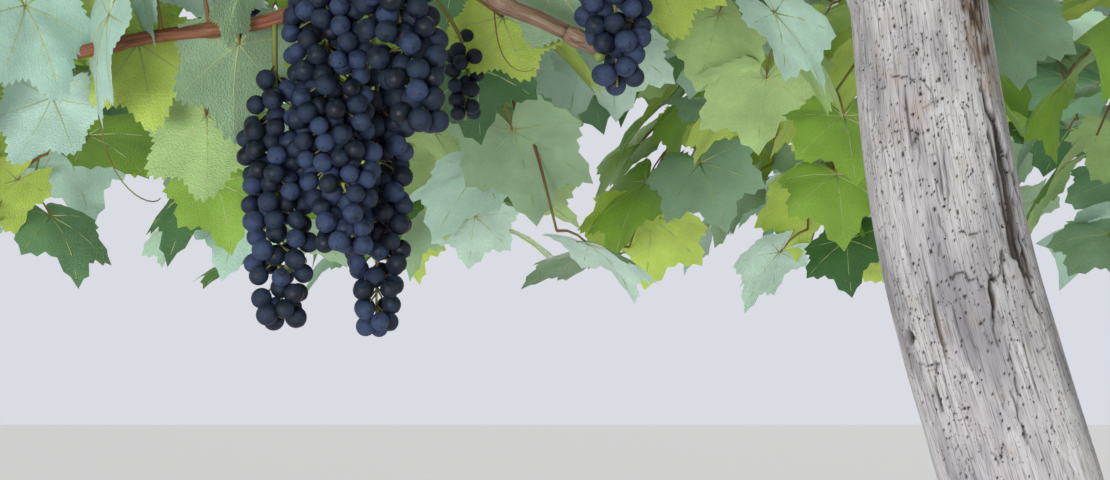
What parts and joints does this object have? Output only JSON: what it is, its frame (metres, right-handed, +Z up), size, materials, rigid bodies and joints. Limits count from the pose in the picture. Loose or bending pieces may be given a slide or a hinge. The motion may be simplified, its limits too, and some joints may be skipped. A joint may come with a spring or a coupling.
{
  "type": "grapevine",
  "caption": "Old grapevine trained overhead: a leaning bare grey trunk that forks into arms and canes under a roof of leaves, with ripe blue-black bunches hanging below.",
  "frame": {"origin": "the middle of the flat cut under the trunk, at ground level", "axes": "+Z up, the picture's viewer on the -Y side with +X to the right; the trunk leans towards -X"},
  "size_m": [2.744, 2.7033, 2.2898],
  "materials": {
    "weathered_wood": "matt",
    "old_bark": "matt",
    "cane_bark": "satin",
    "leaf": "satin",
    "green_shoot": "satin",
    "grape": "satin"
  },
  "bodies": {
    "root": {"arm_back": "old_bark", "arm_front": "old_bark", "arm_left": "old_bark", "arm_right": "old_bark", "cane_back_1": "cane_bark", "cane_back_2": "cane_bark", "cane_front_1": "cane_bark", "cane_front_2": "cane_bark", "cane_hanging_right": "cane_bark", "cane_left_1": "cane_bark", "cane_left_2": "cane_bark", "cane_right_1": "cane_bark", "cane_right_2": "cane_bark", "foliage_back": "leaf", "foliage_back_1": "leaf", "foliage_back_2": "leaf", "foliage_front": "leaf", "foliage_front_1": "leaf", "foliage_front_2": "leaf", "foliage_head": "leaf", "foliage_left": "leaf", "foliage_left_1": "leaf", "foliage_left_2": "leaf", "foliage_right": "leaf", "foliage_right_1": "leaf", "foliage_right_2": "leaf", "hanging_shoot_left": "leaf", "hanging_shoot_right": "leaf", "spur_left": "cane_bark", "trunk": "weathered_wood"}
  },
  "joints": []
}
